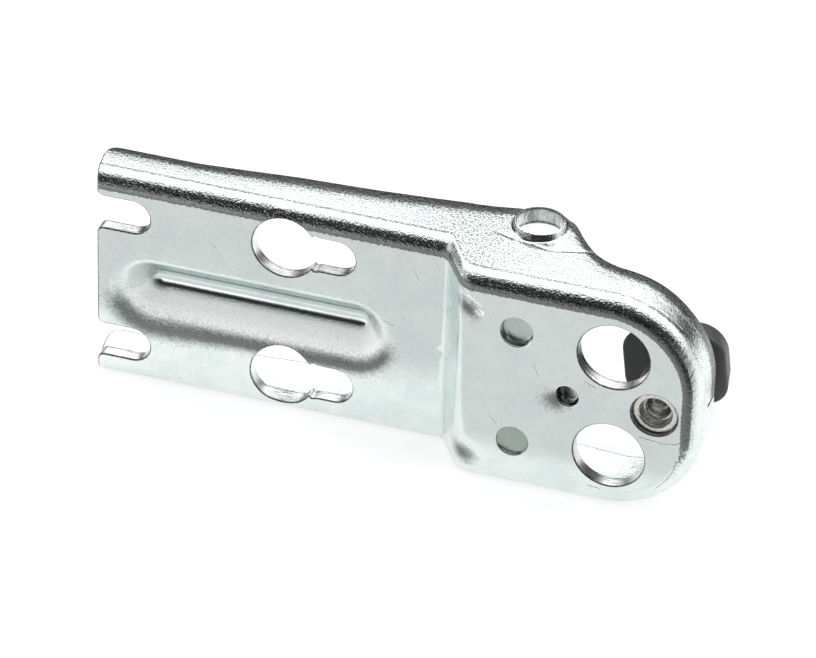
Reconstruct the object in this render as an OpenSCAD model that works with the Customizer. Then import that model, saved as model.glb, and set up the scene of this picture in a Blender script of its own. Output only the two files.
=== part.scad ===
// Door hinge for an upright refrigerator: a pressed bracket, the pin fixed in its
// head, and the plastic block that turns on the pin. Millimetres.
// +X runs from the arm to the head, +Z is up across the bracket's width, and +Y is
// the way the flanges are folded. The origin is on the pin's axis, in the plane of
// the head's outer face. The bracket stands on its lower flange.

/* [Sheet] */
// Thickness of the sheet
sheet_t = 3; // [2.5:0.1:3.2]
// Outer radius of the folds
fold_r = 3.6; // [3.5:0.1:4]
// Half of the bracket's width over the flanges
half_w = 25; // [24.5:0.1:26]

/* [Arm] */
// Distance from the pin to the free end of the arm
arm_x = 122; // [121:0.5:126]
// Height of the step between the arm and the head
step_h = 9.3; // [9:0.1:10]
// Start of the step, from the pin
step_x = 48.3; // [48:0.1:49]
// Slope of the step in degrees
step_a = 58; // [54:1:60]

/* [Arm holes] */
// Distance from the pin to the round ends of the keyholes
key_x = 81.5; // [80:0.5:84]
// Height of the keyholes from the middle
key_z = 15.8; // [15.5:0.1:16]
// Radius of the round end of a keyhole
key_r = 6.9; // [6.5:0.1:7]
// Radius of the narrow end of a keyhole
slot_r = 4; // [3.5:0.1:4.2]
// Length from the round centre to the narrow centre
slot_l = 11.2; // [10:0.1:13]
// Distance from the pin to the inner centres of the end notches
notch_x = 114.3; // [113:0.1:116]
// Radius of the end notches
notch_r = 3.8; // [3.5:0.1:4]

/* [Rib] */
// Depth of the pressed rib
rib_d = 6.8; // [6:0.1:7]
// Slope of the rib's walls in degrees
rib_a = 52; // [50:1:55]
// Distance from the pin to the rib's far end centre
rib_x0 = 109.8; // [108:0.1:110]
// Distance from the pin to the rib's near end centre
rib_x1 = 66.8; // [66.6:0.1:69]
// Height of the rib's middle, below the bracket's middle
rib_low = 2.1; // [1.6:0.1:2.2]

/* [Head] */
// Distance from the pin to the head's outer end
head_x = 9.3; // [9:0.1:10]
// Radius of the head's corners
head_r = 20; // [19:0.5:21]
// Radius of the two large holes
big_r = 7.5; // [7:0.1:7.8]
// Place of the large holes along the bracket
big_x = 9; // [8.5:0.1:9.5]
// Height of the large holes from the middle
big_z = 12; // [11.8:0.1:12.2]
// Radius of the two pressed discs
disc_r = 3.4; // [3:0.1:3.5]
// Place of the pressed discs along the bracket
disc_x = 29.3; // [28:0.1:30]
// Height of the pressed discs from the middle
disc_z = 13.4; // [12:0.1:14]
// Radius of the centre dimple
dimple_r = 2.4; // [2:0.1:2.6]
// Place of the centre dimple along the bracket
dimple_x = 18.3; // [17.8:0.1:18.8]
// Height of the centre dimple from the middle
dimple_z = 0.4; // [0:0.1:0.8]

/* [Flanges] */
// Depth of the flange's free edge at the arm's end
edge_arm = 21; // [20:0.5:22]
// How far the flanges stand out past the web at the arm's end
end_bulge = 1.2; // [0.4:0.1:1.5]
// Depth of the flange's free edge beside the lobe
edge_lobe = 27.2; // [26.5:0.1:27.5]
// Depth of the flange's free edge at the head's end
edge_head = 12; // [11.5:0.1:12.5]
// Radius of the lobe round the flange hole
lobe_r = 7.1; // [6.9:0.1:7.6]
// Place of the flange hole along the bracket
lobe_x = 31.2; // [30.8:0.1:31.5]
// Depth of the flange hole behind the head
lobe_y = 21.1; // [20.8:0.1:21.4]
// Radius of the flange hole
lobe_hole_r = 4.8; // [4:0.05:4.9]
// Outer radius of the raised collar
collar_r = 5.35; // [5.25:0.05:5.8]
// Height of the raised collar
collar_h = 1.6; // [1:0.1:1.8]

/* [Pin] */
// Radius of the pin's shaft
pin_r = 4.75; // [4.6:0.01:4.76]
// Depth of the pin's end ring below the head's face
pin_sunk = 0.9; // [0.5:0.1:1.2]
// Radius of the pin's hollow at its mouth
pin_hollow = 3.4; // [3:0.1:3.6]

/* [Block] */
// Width of the block's front
block_w = 21.7; // [20:0.1:23]
// Height of the block's front
block_h = 16.3; // [16:0.1:18]
// Thickness of the block
block_t = 5.5; // [4.5:0.1:6]
// Radius of the block's front corners
block_c = 4.9; // [4:0.1:5.2]
// Distance from the head's outer face to the block
block_y = 16.8; // [16.8:0.1:17]
// Turn of the block on the pin in degrees
block_turn = 7; // [0:0.5:45]
// Radius of the block's sleeve
sleeve_r = 6.0; // [5.8:0.1:6.2]

/* [Hidden] */
web_hole_r = 4.9;
fold_in = fold_r - sheet_t;

// ---- helpers -------------------------------------------------------------

// A drawing in X and depth, raised along the bracket's height from z0 to z1.
module raise_z(z0, z1) translate([0, 0, z0]) linear_extrude(height = z1 - z0) children();

// Round shape with its axis along Y, from depth y0 to y1, centred at x, z.
module round_y(x, z, r, y0, y1, n = 96)
    translate([x, y0, z]) rotate([-90, 0, 0]) cylinder(r = r, h = y1 - y0, $fn = n);

// A profile turned round an axis along Y. The profile's X is the radius and its Y
// is the depth.
module turned_y(x, z, a0 = 0, a1 = 360, n = 96)
    translate([x, 0, z]) rotate([-90, 0, 0]) rotate([0, 0, a0])
        rotate_extrude(angle = a1 - a0, $fn = n) children();

// Points of an S-shaped fold: flat, a bend of radius ra, a straight wall at angle
// a, and a bend of radius rb into a floor that is deeper by d. off is the distance
// below the outer skin, so the same fold gives both skins of the sheet.
function fold_wall(d, ra, rb, a) = (d - (ra + rb) * (1 - cos(a))) / sin(a);
function fold_run(d, ra, rb, a) = (ra + rb) * sin(a) + fold_wall(d, ra, rb, a) * cos(a);
function fold_pts(d, ra, rb, a, off, n = 6) = concat(
    [for (i = [0 : n]) let (t = a * i / n)
        [fold_run(d, ra, rb, a) - (ra - off) * sin(t), ra - (ra - off) * cos(t)]],
    [for (i = [0 : n]) let (t = a * (1 - i / n))
        [(rb + off) * sin(t), d - rb + (rb + off) * cos(t)]]);

// ---- the bracket's section along its length ------------------------------

step_ra = 4.5;
step_rb = 2.5;
step_run = fold_run(step_h, step_ra, step_rb, step_a);
// The step's skin, from the head side to the arm side, at X and depth.
function step_pts(off, n = 6) = [for (p = fold_pts(step_h, step_ra, step_rb, step_a, off, n))
    [p[0] - step_x, p[1]]];
// The same, from the arm to the head.
function turned_list(v) = [for (i = [len(v) - 1 : -1 : 0]) v[i]];

head_cx = head_x - head_r;
head_cz = half_w - head_r;

module web_section() polygon(concat(
    [[-arm_x, step_h]], turned_list(step_pts(0)), [[head_cx, 0], [head_cx, sheet_t]],
    step_pts(sheet_t), [[-arm_x, step_h + sheet_t]]));

// Everything behind the outer skin, down to depth 40, for the flanges.
module behind_skin() polygon(concat(
    [[-arm_x, step_h]], turned_list(step_pts(0)), [[head_cx, 0], [head_cx, 40], [-arm_x - end_bulge, 40]],
    [for (i = [0 : 6]) [-arm_x - end_bulge * (0.5 + 0.5 * cos(30 * i)), step_h + 7.5 - 4.2 * i / 6]]));

// Free edge of the plain flange, and of the upper one with its lobe.
edge_slope = 0.09;
head_edge_x = 12;
edge_mid = edge_head + edge_slope * (head_x + head_edge_x);
module side_plain() polygon(concat(
    [[-arm_x - 3, -2], [-arm_x - 3, 16.5], [-arm_x - end_bulge, 18]],
    [for (t = [0 : 15 : 90]) [-arm_x - end_bulge + 2.4 - 2.4 * cos(t), edge_arm - 2.4 + 2.4 * sin(t)]],
    [[-104, edge_arm]],
    [[-64, edge_arm + 3.1]],
    [for (t = [0 : 15 : 45]) [-52 + 9 * sin(t), edge_arm + 4.0 - 9 + 9 * cos(t)]],
    [for (t = [45 : -15 : 0]) [-27.2 - 9 * sin(t), edge_mid + 0.6 + 9 - 9 * cos(t)]],
    [[-head_edge_x, edge_mid]],
    [[head_x + 1, edge_head - edge_slope]],
    [[head_x + 1, -2]]));

module side_lobe() {
    polygon(concat(
        [[-arm_x - 3, -2], [-arm_x - 3, 16.5], [-arm_x - end_bulge, 18]],
        [for (t = [0 : 15 : 90]) [-arm_x - end_bulge + 2.4 - 2.4 * cos(t), edge_arm - 2.4 + 2.4 * sin(t)]],
        [[-104, edge_arm], [-64, edge_arm + 3.2], [-44, edge_lobe - 0.7], [-37, edge_lobe],
         [-lobe_x, edge_lobe], [-lobe_x + lobe_r * cos(35), lobe_y + lobe_r * sin(35)]],
        [for (t = [48 : -12 : 0]) [-12.6 - 6 * sin(t), edge_mid + 0.2 + 6 - 6 * cos(t)]],
        [[-head_edge_x, edge_mid], [head_x + 1, edge_head - edge_slope], [head_x + 1, -2]]));
    translate([-lobe_x, lobe_y]) circle(r = lobe_r, $fn = 96);
}

// ---- the sheet, folded ---------------------------------------------------

// The head's outline inside its folded rim, by the distance in.
module head_plate(in, y0, y1) {
    for (s = [-1, 1]) round_y(head_cx, s * head_cz, head_r - in, y0, y1, 144);
    translate([head_cx, y0, -head_cz]) cube([head_r - in, y1 - y0, 2 * head_cz]);
    translate([head_cx - 20, y0, -half_w + in]) cube([20, y1 - y0, 2 * (half_w - in)]);
}

module folded_sheet() {
    raise_z(-half_w + fold_r, half_w - fold_r) web_section();
    head_plate(fold_r, 0, sheet_t);
    // side flanges
    for (s = [0, 1]) mirror([0, 0, s])
        raise_z(half_w - sheet_t, half_w) behind_skin();
    // filling between the web and the side flanges
    for (s = [0, 1]) mirror([0, 0, s])
        raise_z(half_w - fold_r - 0.1, half_w - sheet_t + 0.1) web_section();
    // round end
    for (s = [-1, 1]) turned_y(head_cx, s * head_cz, s < 0 ? 0 : -90, s < 0 ? 90 : 0, 144)
        end_fold();
    translate([head_x - head_r, 0, -head_cz]) linear_extrude(height = 2 * head_cz) end_fold();
}

// Section of the fold round the head's end: radius outwards, depth along Y.
module end_fold() {
    intersection() {
        difference() {
            translate([head_r - fold_r, fold_r]) circle(r = fold_r, $fn = 96);
            translate([head_r - fold_r, fold_r]) circle(r = fold_in, $fn = 48);
        }
        translate([head_r - fold_r - 0.05, 0]) square([fold_r + 0.05, fold_r]);
    }
    translate([head_r - sheet_t, fold_r - 0.05]) square([sheet_t, 40 - fold_r]);
}

// What is cut away to round the long folds, where the sheet is straight.
module fold_cut(x0, x1, y) for (s = [0, 1]) mirror([0, 0, s]) difference() {
    translate([x0, y - 1, half_w - fold_r]) cube([x1 - x0, fold_r + 1, fold_r + 1]);
    translate([x0 - 1, y + fold_r, half_w - fold_r]) rotate([0, 90, 0])
        cylinder(r = fold_r, h = x1 - x0 + 2, $fn = 96);
}

// The same cut along the step: a ring of points carried along the step's skin. It
// stands a hair outside the straight cuts, so that the two meet at a clean edge.
step_fold_r = fold_r + 0.05;
function cut_ring(x, y, n = 8) = concat(
    [for (i = [0 : n]) let (t = 90 * i / n)
        [x, y + fold_r - step_fold_r * cos(t), half_w - fold_r + step_fold_r * sin(t)]],
    [[x, y + fold_r, half_w + 1], [x, y - 1.2, half_w + 1], [x, y - 1.2, half_w - fold_r]]);
module step_fold_cut() {
    path = concat([[-step_x - 0.1, step_h]], turned_list(step_pts(0)), [[-step_x + step_run + 0.1, 0]]);
    rings = [for (p = path) cut_ring(p[0], p[1])];
    m = len(rings[0]);
    n = len(rings);
    pts = [for (r = rings) for (p = r) p];
    faces = concat(
        [[for (i = [0 : m - 1]) i]],
        [[for (i = [m - 1 : -1 : 0]) (n - 1) * m + i]],
        [for (j = [0 : n - 2]) for (i = [0 : m - 1]) [j * m + i, (j + 1) * m + i, (j + 1) * m + (i + 1) % m]],
        [for (j = [0 : n - 2]) for (i = [0 : m - 1]) [j * m + i, (j + 1) * m + (i + 1) % m, j * m + (i + 1) % m]]);
    for (s = [0, 1]) mirror([0, 0, s]) polyhedron(points = pts, faces = faces);
}

// ---- the rib -------------------------------------------------------------

rib_ra = 4.4;
rib_rb = 2.66;
rib_flat = 0.15;
function rib_half(off) = [for (p = fold_pts(rib_d, rib_ra, rib_rb, rib_a, off, 5)) [p[0] + rib_flat, p[1]]];
module rib_section_half(off, lift) polygon(concat(
    [[0, lift]], [[rib_half(off)[0][0], lift]], rib_half(off), [[0, rib_d + off]]));
module rib(off, lift) translate([0, step_h, -rib_low]) {
    for (s = [0, 1]) mirror([0, 0, s]) translate([-rib_x0, 0, 0]) rotate([0, 90, 0])
        linear_extrude(height = rib_x0 - rib_x1) rib_section_half(off, lift);
    turned_y(-rib_x0, 0, 0, 360) rib_section_half(off, lift);
    turned_y(-rib_x1, 0, 0, 360) rib_section_half(off, lift);
}

// ---- holes ---------------------------------------------------------------

module keyhole(s) {
    round_y(-key_x, s * key_z, key_r, step_h - 1, step_h + sheet_t + 0.02);
    // the rib's flank is cut wider behind the sheet, on the side of the middle only
    intersection() {
        round_y(-key_x, s * key_z, key_r + 0.4, step_h + sheet_t, step_h + sheet_t + 4);
        translate([-key_x - 10, step_h, s > 0 ? 0 : 2.5 - key_z]) cube([20, sheet_t + 5, key_z - 2.5]);
    }
    round_y(-key_x + slot_l, s * key_z, slot_r, step_h - 1, step_h + sheet_t + 2);
    translate([-key_x, step_h - 1, s * key_z - slot_r]) cube([slot_l, sheet_t + 3, 2 * slot_r]);
}

module end_notch(s) {
    round_y(-notch_x, s * key_z, notch_r, step_h - 1, step_h + sheet_t + 1);
    translate([-arm_x - 1, step_h - 1, s * key_z - notch_r]) cube([arm_x - notch_x + 1, sheet_t + 2, 2 * notch_r]);
    // rounded mouth
    for (k = [-1, 1]) difference() {
        translate([-arm_x - 1, step_h - 1, s * key_z + k * notch_r + (k < 0 ? -1.6 : 0) - 0.01]) cube([2.6, sheet_t + 2, 1.62]);
        round_y(-arm_x + 1.6, s * key_z + k * (notch_r + 1.6), 1.6, step_h - 2, step_h + sheet_t + 2, 32);
    }
}

// The drawn hole of the flange: straight at the top, and belled where the sheet was
// pulled up into the collar.
module flange_hole() translate([-lobe_x, lobe_y, half_w - sheet_t]) rotate_extrude($fn = 96) polygon(concat(
    [[0, -1], [lobe_hole_r + 1.4, -1]],
    [for (i = [0 : 5]) let (t = 18 * i) [lobe_hole_r + 1.4 - 1.4 * sin(t), 1.4 - 1.4 * cos(t)]],
    [[lobe_hole_r, sheet_t + collar_h + 1], [0, sheet_t + collar_h + 1]]));

module hinge_bracket() color([0.80, 0.84, 0.84]) difference() {
    union() {
        intersection() {
            difference() {
                folded_sheet();
                fold_cut(-arm_x - 3, -step_x, step_h);
                fold_cut(-step_x + step_run, head_cx, 0);
                step_fold_cut();
            }
            union() {
                raise_z(0, half_w + 2) side_lobe();
                raise_z(-half_w - 2, 0) side_plain();
            }
        }
        // back of the rib, pressed discs and dimple
        rib(sheet_t * 0.92, 0.6);
        round_y(-disc_x, disc_z, disc_r - 0.03, 1.5, sheet_t + 1.7);
        round_y(-disc_x, -disc_z, disc_r - 0.03, 1.5, sheet_t + 0.8);
        round_y(-dimple_x, dimple_z, dimple_r + 0.6, 1, sheet_t + 1.4);
        // raised collar of the flange hole
        translate([-lobe_x, lobe_y, half_w - 1]) cylinder(r = collar_r, h = 1 + collar_h, $fn = 96);
    }
    rib(0, -1);
    for (s = [-1, 1]) {
        keyhole(s);
        end_notch(s);
        round_y(-big_x, s * big_z, big_r, -1, sheet_t + 0.6);
    }
    round_y(-disc_x, disc_z, disc_r, -1, 1.7);
    round_y(-disc_x, -disc_z, disc_r, -1, 0.8);
    round_y(-dimple_x, dimple_z, dimple_r, -1, 1.9);
    round_y(0, 0, web_hole_r, -1, sheet_t + 1);
    flange_hole();
    // leaf-shaped stiffening dents across the step
    for (s = [-1, 1]) translate([-40.3, -2.2, s * 17.6]) rotate([0, s * 28, 0]) rotate([0, 0, -14]) rotate([0, 90, 0])
        cylinder(r = 2.9, h = 9.5, center = true, $fn = 48);
}

module hinge_pin() color([0.62, 0.63, 0.62]) turned_y(0, 0) difference() {
    union() {
        translate([0, pin_sunk]) square([4.65, 1]);
        translate([0, 1.8]) square([web_hole_r - 0.02, 1.3]);
        translate([0, sheet_t]) square([6.1, 1.6]);
        translate([0, 4]) square([pin_r, block_y + block_t + 0.15 - 4 + 0.5]);
        translate([0, block_y + block_t + 0.15]) square([6.4, 1.3]);
    }
    translate([-1, 0]) square([1 + pin_hollow, 5]);
    translate([-1, 0]) square([1 + 2.5, 9]);
    polygon([[-1, 8.9], [2.5, 8.9], [0, 10.6], [-1, 10.6]]);
}

// A rounded rectangle w by h with corners c, from depth y0 to y1. The pin's hole is
// a little off its middle.
block_dx = -0.4;
block_dz = 0.5;
module block_plate(w, h, c, y0, y1) translate([block_dx, 0, block_dz]) hull()
    for (sx = [-1, 1]) for (sz = [-1, 1])
        round_y(sx * (w / 2 - c), sz * (h / 2 - c), c, y0, y1, 64);

module pivot_block() color([0.16, 0.16, 0.16]) rotate([0, -block_turn, 0]) difference() {
    union() {
        // bevelled front edge, then a body that runs to softer corners at the back
        hull() {
            block_plate(block_w - 0.6, block_h - 0.6, block_c - 0.3, block_y, block_y + 0.2);
            block_plate(block_w, block_h, block_c, block_y + 0.3, block_y + 0.5);
            block_plate(block_w - 1.2, block_h + 0.3, block_c + 1.3, block_y + block_t - 0.3, block_y + block_t);
        }
        round_y(0, 0, sleeve_r, 4.75, block_y + 1);
    }
    round_y(0, 0, pin_r + 0.07, 4, block_y + block_t + 1);
}

hinge_bracket();
hinge_pin();
pivot_block();
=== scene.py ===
import math

import bmesh
import bpy
import numpy as np
from mathutils import Matrix, Vector
from mathutils.geometry import delaunay_2d_cdt


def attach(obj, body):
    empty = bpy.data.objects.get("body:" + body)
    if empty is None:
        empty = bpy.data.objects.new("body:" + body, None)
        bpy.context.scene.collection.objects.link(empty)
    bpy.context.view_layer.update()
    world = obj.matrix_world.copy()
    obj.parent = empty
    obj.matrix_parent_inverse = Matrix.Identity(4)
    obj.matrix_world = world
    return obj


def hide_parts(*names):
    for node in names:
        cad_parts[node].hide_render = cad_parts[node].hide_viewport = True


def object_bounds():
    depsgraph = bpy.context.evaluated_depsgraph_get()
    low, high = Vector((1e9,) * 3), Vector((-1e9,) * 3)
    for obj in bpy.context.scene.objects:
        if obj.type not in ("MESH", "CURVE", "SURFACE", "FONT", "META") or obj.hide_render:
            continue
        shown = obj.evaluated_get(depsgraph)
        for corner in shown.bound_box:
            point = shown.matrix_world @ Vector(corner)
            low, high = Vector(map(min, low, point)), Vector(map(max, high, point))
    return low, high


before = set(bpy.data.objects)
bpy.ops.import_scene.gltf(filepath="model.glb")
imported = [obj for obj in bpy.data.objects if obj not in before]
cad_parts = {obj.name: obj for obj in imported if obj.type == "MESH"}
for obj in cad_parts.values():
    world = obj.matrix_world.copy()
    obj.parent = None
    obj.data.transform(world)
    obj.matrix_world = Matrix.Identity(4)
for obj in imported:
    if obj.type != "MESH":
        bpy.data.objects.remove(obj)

cad_lo, cad_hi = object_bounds()
MM = 0.001
rng = np.random.default_rng(7)

# ---------------------------------------------------------------- camera
az, el, roll = math.radians(16.759), math.radians(34.866), math.radians(1.748)
DIST = 1179.74
right = np.array([math.cos(az), math.sin(az), 0.0])
back = np.array([math.sin(az) * math.cos(el), -math.cos(az) * math.cos(el), math.sin(el)])
up = np.cross(back, right)
r0 = math.cos(roll) * right + math.sin(roll) * up
r1 = -math.sin(roll) * right + math.cos(roll) * up
rot = np.array([r0, r1, back])
offset = np.array([(654.135 - 408) / 5, -(415.904 - 329) / 5, -DIST])
eye = -rot.T @ offset * MM
cam_data = bpy.data.cameras.new("camera")
cam = bpy.data.objects.new("camera", cam_data)
bpy.context.scene.collection.objects.link(cam)
cam.matrix_world = Matrix([[rot[0][i], rot[1][i], rot[2][i], eye[i]] for i in range(3)] + [[0, 0, 0, 1]])
cam_data.sensor_fit = "HORIZONTAL"
cam_data.sensor_width = 36.0
cam_data.lens = 5 * DIST / 816 * 36
cam_data.clip_start, cam_data.clip_end = 0.05, 60.0
bpy.context.scene.camera = cam

# ---------------------------------------------------------------- the sheet's own shape, in mm
T = 3.0                     # thickness
RF, RI = 3.6, 0.6           # outer and inner radius of the long folds
HW = 25.0                   # half width over the flanges
ARM = 122.0
STEP_X, STEP_H = 48.3, 9.3
CX, CZ, HR = -10.7, 5.0, 20.0   # centres and radius of the head's round corners
RW = HR - RF                # from those centres to the start of the fold
ARC = RF * math.pi / 2
RE = RW + ARC               # to the end of the fold, on the flat blank
KEY_X, KEY_Z, KEY_R, SLOT_R, SLOT_L = -81.5, 15.8, 6.9, 4.0, 11.2
BIG_X, BIG_Z, BIG_R = -9.0, 12.0, 7.5
DISC_X, DISC_Z, DISC_R = -29.3, 13.4, 3.4
DIMPLE_X, DIMPLE_Z, DIMPLE_R = -18.3, 0.1, 2.4
LOBE_X, LOBE_Y, LOBE_R, LOBE_HOLE, COLLAR_R, COLLAR_H = -31.2, 21.1, 7.1, 4.8, 5.35, 1.6


def s_bend(u, d, ra, rb, a):
    """Depth of an S-shaped bend, u from its deep end: d where u is under 0, and 0 past the bend."""
    wall = (d - (ra + rb) * (1 - np.cos(a))) / np.sin(a)
    run = (ra + rb) * np.sin(a) + wall * np.cos(a)
    u1 = rb * np.sin(a)
    y1 = d - rb + rb * np.cos(a)
    v = run - u
    y = np.where(u <= 0, d, 0.0)
    y = np.where((u > 0) & (u <= u1), d - rb + np.sqrt(np.maximum(rb ** 2 - u ** 2, 0)), y)
    y = np.where((u > u1) & (v >= ra * np.sin(a)), y1 - (u - u1) * np.tan(a), y)
    y = np.where((v < ra * np.sin(a)) & (v > 0), ra - np.sqrt(np.maximum(ra ** 2 - v ** 2, 0)), y)
    return y


def ys(x):
    return s_bend(x + STEP_X, STEP_H, 4.5, 2.5, math.radians(58))


def thicken(xs, y):
    """The far skin of a sheet whose near skin is y(xs): a ball of the sheet's thickness rolled along it."""
    best = y + T
    for s in np.arange(-T, T + 0.001, 0.05):
        best = np.maximum(best, np.interp(xs - s, xs, y) + math.sqrt(max(T * T - s * s, 0)))
    return best


_sx = np.arange(-60, -25, 0.02)
_sb = thicken(_sx, ys(_sx))


def yb(x):
    return np.where((x > -59) & (x < -27), np.interp(x, _sx, _sb), ys(x) + T)


RIB_D, RIB_RB, RIB_FLAT, RIB_W = 6.8, 2.66, 0.15, -1.9
RIB_X0, RIB_X1 = -109.8, -66.8
_rd = np.arange(-16, 16, 0.02)
_rib_tables = [thicken(_rd, s_bend(np.abs(_rd) - RIB_FLAT, RIB_D, ra, RIB_RB, math.radians(a))) - T
               for ra, a in ((2.3, 48), (4.2, 52), (6.4, 58))]


def rib_polar(X, W):
    dx = np.where(X < RIB_X0, X - RIB_X0, np.where(X > RIB_X1, X - RIB_X1, 0.0))
    w = W - RIB_W
    d = np.hypot(dx, w)
    return d, np.where(d > 1e-6, w / np.maximum(d, 1e-6), 0.0)


def rib_front(X, W):
    d, s = rib_polar(X, W)
    a = np.radians(52 - 4 * np.maximum(s, 0) + 6 * np.maximum(-s, 0))
    return s_bend(d - RIB_FLAT, RIB_D, 4.2 - np.where(s > 0, 1.9, 2.2) * s, RIB_RB, a)


def rib_back(X, W):
    d, s = rib_polar(X, W)
    lo, mid, hi = (np.interp(d, _rd, t) for t in _rib_tables)
    return np.where(s > 0, mid * (1 - s) + lo * s, mid * (1 + s) - hi * s)


def recess(r, R, depth, lip=0.28):
    """Depth of a sheared disc at radius r: a steep wall at R and a rounded lip outside it."""
    v = R + lip - r
    y = np.where((v > 0) & (v <= lip), lip - np.sqrt(np.maximum(lip ** 2 - v ** 2, 0)), 0.0)
    k = np.clip((v - lip) / 0.12, 0, 1)
    return np.where(v > lip, lip + (depth - lip) * k, y)


def web_front(X, W):
    y = rib_front(X, W)
    y = y + recess(np.hypot(X - DISC_X, W - DISC_Z), DISC_R, 1.7)
    y = y + recess(np.hypot(X - DISC_X, W + DISC_Z), DISC_R, 0.8)
    y = y + recess(np.hypot(X - DIMPLE_X, W - DIMPLE_Z), DIMPLE_R, 1.9)
    return y


def web_back(X, W):
    y = rib_back(X, W)
    for cz, h in ((DISC_Z, 1.7), (-DISC_Z, 0.8)):
        r = np.hypot(X - DISC_X, W - cz)
        y = y + h * np.clip((DISC_R - 0.03 + 0.08 - r) / 0.16, 0, 1)
    r = np.hypot(X - DIMPLE_X, W - DIMPLE_Z)
    y = y + 1.4 * np.clip((DIMPLE_R + 0.9 - r) / 0.5, 0, 1)
    return y


# depth of the free edge along the bracket, for the upper and the lower flange
UP = np.array([(-122, 21.0), (-120.5, 21.0), (-104, 21.0), (-93, 22.0), (-83, 23.1), (-74, 23.6), (-66, 24.1),
               (-57.8, 24.9), (-49.5, 25.8), (-41, 26.8), (-37, 27.2), (-34, 27.3), (-29, 27.0), (-25.6, 26.0), (-24.5, 25.2), (-22.5, 22.3),
               (-20.75, 19.9), (-19.2, 18.1), (-17.8, 16.8), (-16.4, 15.75), (-14.5, 14.8), (-12, 13.95), (-8.5, 13.5),
               (-5.5, 13.3), (-1.3, 12.95), (3, 12.35), (6.5, 12.05), (9.3, 12.0)])
LOW = np.array([(-122, 21.0), (-104, 21.0), (-93, 21.8), (-80, 23.0), (-64, 24.1), (-56, 24.8), (-50, 24.9), (-46, 23.9), (-42, 21.5),
                (-36, 18.2), (-30, 15.8), (-25, 14.7), (-12, 13.95), (-5.5, 13.3), (-1.3, 12.95), (3, 12.35), (6.5, 12.05), (9.3, 12.0)])


def smooth_table(tab, step=0.1, width=1.0):
    x = np.arange(tab[0][0] - 4, tab[-1][0] + 4, step)
    y = np.interp(x, tab[:, 0], tab[:, 1])
    k = np.exp(-0.5 * (np.arange(-3 * width, 3 * width + step / 2, step) / width) ** 2)
    k /= k.sum()
    n = len(k) // 2
    return x, np.convolve(np.pad(y, n, mode="edge"), k, mode="valid")[: len(x)]


_ux, _uy = smooth_table(UP, width=0.55)
_lx, _ly = smooth_table(LOW, width=1.6)


def edge_y(x, side):
    lobe = np.where(np.abs(x - LOBE_X) < LOBE_R, LOBE_Y + np.sqrt(np.maximum(LOBE_R ** 2 - (x - LOBE_X) ** 2, 0)), 0)
    u = np.maximum(np.interp(x, _ux, _uy), lobe)
    return np.where(side > 0, u, np.interp(x, _lx, _ly))


def unroll(q):
    """Where a point of the flat blank goes: base, direction and distance from the corner centre's line."""
    X, W = q[:, 0], q[:, 1]
    s = np.where(W < 0, -1.0, 1.0)
    a = np.abs(W)
    head = X > CX
    inner = a <= CZ
    rx, rz = X - CX, np.maximum(a - CZ, 0.0)
    rp = np.maximum(np.hypot(rx, rz), 1e-9)
    rho = np.where(head, np.where(inner, rx, rp), a - CZ)
    ux = np.where(head, np.where(inner, 1.0, rx / rp), 0.0)
    uz = np.where(head, np.where(inner, 0.0, rz / rp), 1.0) * s
    bx = np.where(head, CX, X)
    bz = np.where(inner & head, W, s * CZ)
    return X, W, s, head, inner, rho, ux, uz, bx, bz


def wavy(X, W):
    """Slight unevenness of a pressed sheet, in mm."""
    return (0.020 * np.sin(X / 8.3 + 1.1) * np.sin(W / 6.1 + 0.7) + 0.010 * np.sin(X / 3.7 + W / 4.9)
            + 0.006 * np.sin(X / 2.1 - W / 2.6 + 2.0))


DENTS = [  # middle in X and W, direction, half length, half width, depth
    (-39.2, 18.6, 0.825, -0.565, 4.4, 0.90, 0.35),
    (-39.4, -16.8, 0.825, -0.565, 4.4, 0.90, 0.35),
    (-40.6, 17.4, 0.825, -0.565, 3.6, 2.4, 0.40),
    (-40.8, -18.2, 0.825, -0.565, 3.6, 2.4, 0.40),
    (-47.4, 8.4, 0.86, -0.51, 2.2, 0.50, 0.10),
    (-47.3, -2.0, 0.86, -0.51, 2.2, 0.50, 0.10),
]


def dents(X, W):
    """Stiffening dents pressed into the sheet at the step's foot, and the dish round the dimple."""
    y = np.zeros_like(X)
    for cx, cz, ux, uz, half, wide, deep in DENTS:
        a = (X - cx) * ux + (W - cz) * uz
        b = (W - cz) * ux - (X - cx) * uz
        end = np.clip(np.abs(a) - 0.5 * half, 0, None) / (0.5 * half)
        y = y + deep * np.exp(-(b / wide) ** 2 - end ** 2)
    y = y + 0.95 * np.exp(-((X - DIMPLE_X + 1.5) ** 2 + (W - DIMPLE_Z + 0.9) ** 2) / 3.1 ** 2)
    return y


# the crease across the upper flange, under the collar
CREASE = np.array([(-40.5, 17.2), (-38.1, 16.4), (-33.6, 15.3), (-30.3, 14.6), (-26.9, 13.95), (-22.1, 15.3), (-17.4, 17.0), (-15.0, 17.9)])


def flange_lift(x, y, s, past):
    """How far a flange's skins stand off their plane: rolled free edge and the creased lobe."""
    u = edge_y(x, s) - y
    near_lobe = np.exp(-((x - LOBE_X) / 7.5) ** 4)
    k = np.clip(1 - u / 6.2, 0, 1.1) ** 2 * np.where(s > 0, 1 - 0.6 * near_lobe, 1.0)
    z = -0.72 * k
    line = np.interp(x, CREASE[:, 0], CREASE[:, 1])
    v = y - line
    on = np.where(s > 0, np.clip((x + 40.5) / 4, 0, 1) * np.clip((-15.0 - x) / 4, 0, 1), 0.0)
    z = z - on * 0.17 * np.exp(-(v / 0.42) ** 2)
    return z * s * np.clip(past / 1.5, 0, 1)


def end_bulge(x, past):
    """How far the flanges stand out past the web at the arm's free end."""
    g = np.clip((-106.0 - x) / 16.0, 0, 1)
    return g * g * (3 - 2 * g) * np.interp(past, [-4.5, 0.0, 4.0, 6.0], [0.0, 0.7, 1.2, 1.15])


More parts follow.
